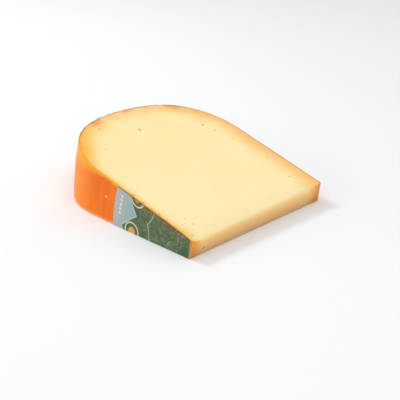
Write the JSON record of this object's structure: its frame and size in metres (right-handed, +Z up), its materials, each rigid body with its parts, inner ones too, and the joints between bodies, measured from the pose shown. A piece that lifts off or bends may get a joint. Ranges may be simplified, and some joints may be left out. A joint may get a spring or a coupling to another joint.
{
  "type": "cheese wedge",
  "caption": "Low wedge cut from a wheel of semi-hard cheese, with its tip cut off, a rounded plastic-coated rim and a round label cut through by the knife.",
  "frame": {"origin": "middle of the bounding box, on the face the wedge rests on", "axes": "+Z up; -X towards the wheel's rounded rim and +X towards the cut tip; Y along the wheel's axis, with the label on the -Y side"},
  "size_m": [0.1279, 0.1104, 0.04],
  "materials": {
    "paste": "satin",
    "coat": "gloss",
    "label": "satin"
  },
  "bodies": {
    "root": {"cheese_paste": "paste", "rind_coat": "coat", "wheel_label": "label"}
  },
  "joints": []
}
